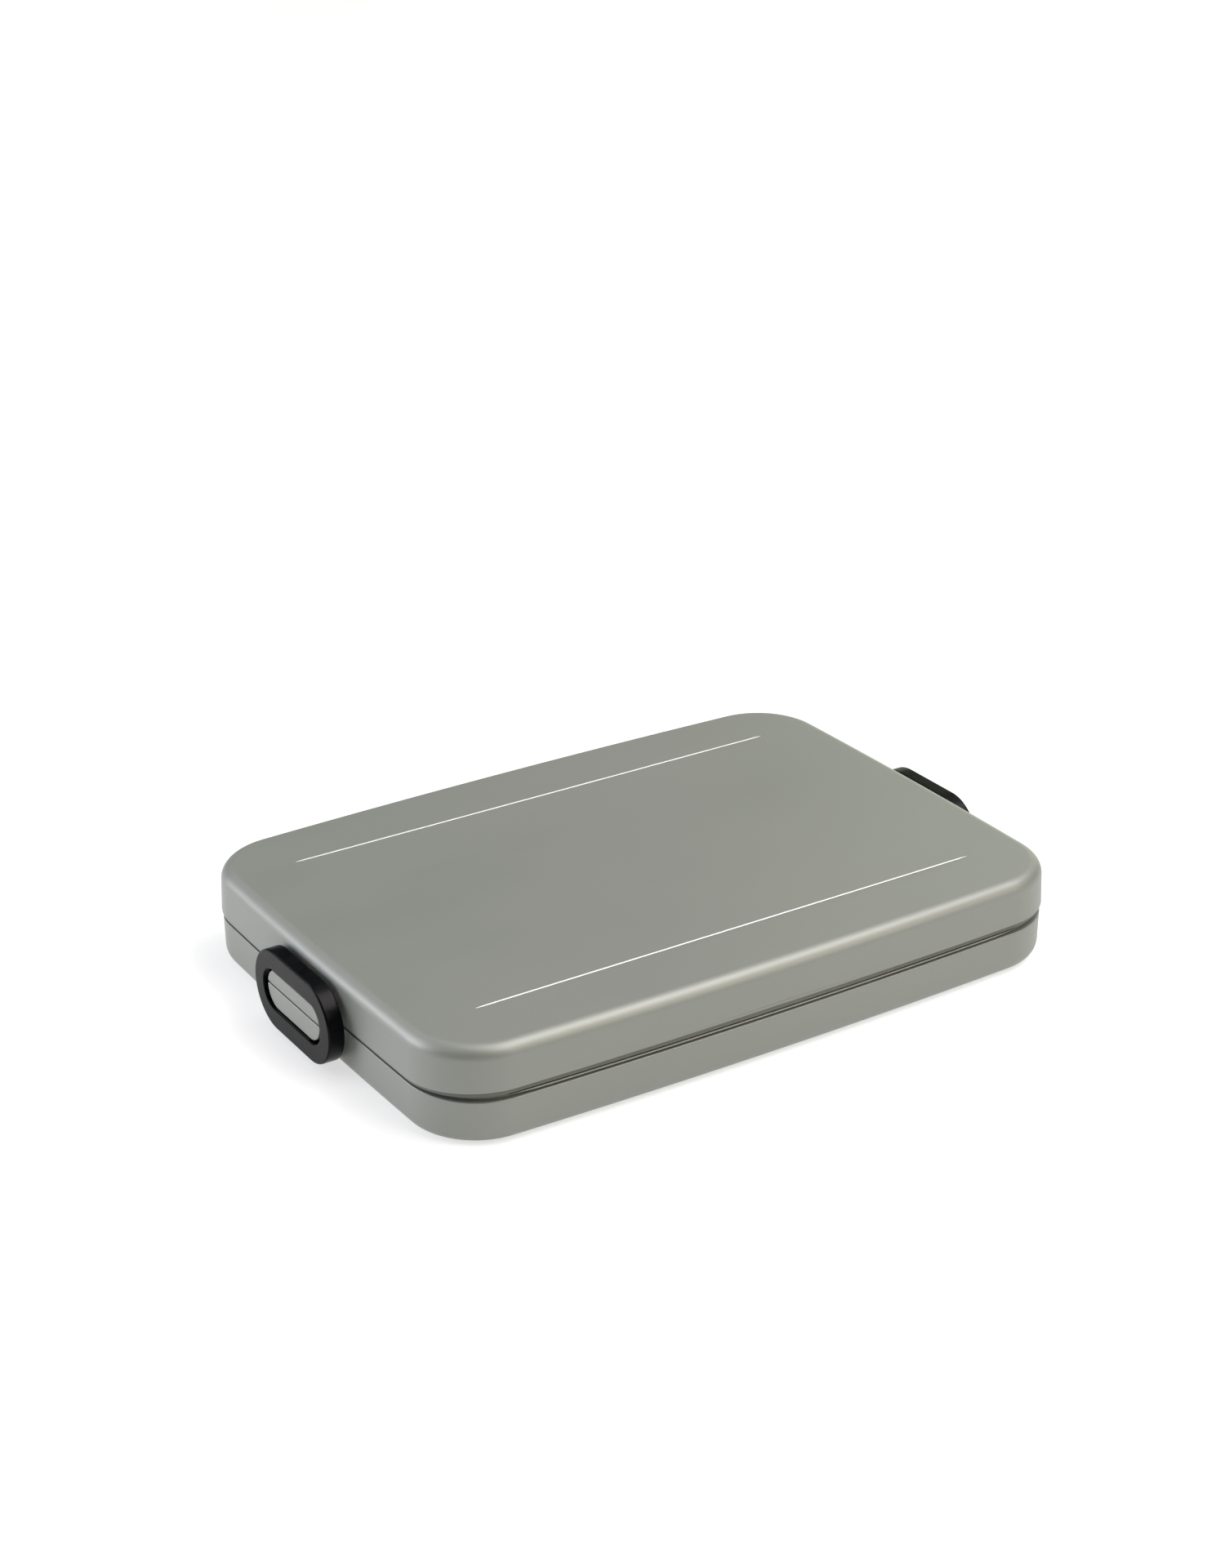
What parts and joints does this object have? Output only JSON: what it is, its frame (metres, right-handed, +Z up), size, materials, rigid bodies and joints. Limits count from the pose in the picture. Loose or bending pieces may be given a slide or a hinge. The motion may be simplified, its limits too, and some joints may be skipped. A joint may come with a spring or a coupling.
{
  "type": "lunch box",
  "caption": "Flat lunch box with rounded corners, a lift-off lid over a shallow tray, and a ring-shaped clip at each end that hinges down and outwards.",
  "frame": {"origin": "middle of the underside, on the surface the box stands on", "axes": "+X along the long side towards one clip, +Y along the short side, +Z up through the lid"},
  "size_m": [0.2506, 0.1706, 0.0329],
  "materials": {
    "body": "satin silver-grey with a fine metallic pigment, like anodised aluminium",
    "clip": "fine matt black",
    "pin": "drawn stainless wire"
  },
  "bodies": {
    "base": {"base_tray": "body"},
    "lid": {"lid": "body"},
    "left_clip": {"left_clip": "clip", "left_hinge_pin": "pin"},
    "right_clip": {"right_clip": "clip", "right_hinge_pin": "pin"}
  },
  "joints": [
    {"name": "lid_lift", "type": "slide", "parent": "base", "child": "lid", "axis": [0, 0, 1], "range_m": [0, 0.014]},
    {"name": "left_clip_hinge", "type": "hinge", "parent": "base", "child": "left_clip", "pos_m": [-0.1217, 0, 0.0052], "axis": [0, -1, 0], "range_deg": [0, 90]},
    {"name": "right_clip_hinge", "type": "hinge", "parent": "base", "child": "right_clip", "pos_m": [0.1217, 0, 0.0052], "axis": [0, 1, 0], "range_deg": [0, 90]}
  ],
  "couplings": [
    {"joint": "left_clip_hinge", "follows": "lid_lift", "rad_per_m": 112},
    {"joint": "right_clip_hinge", "follows": "lid_lift", "rad_per_m": 112}
  ]
}
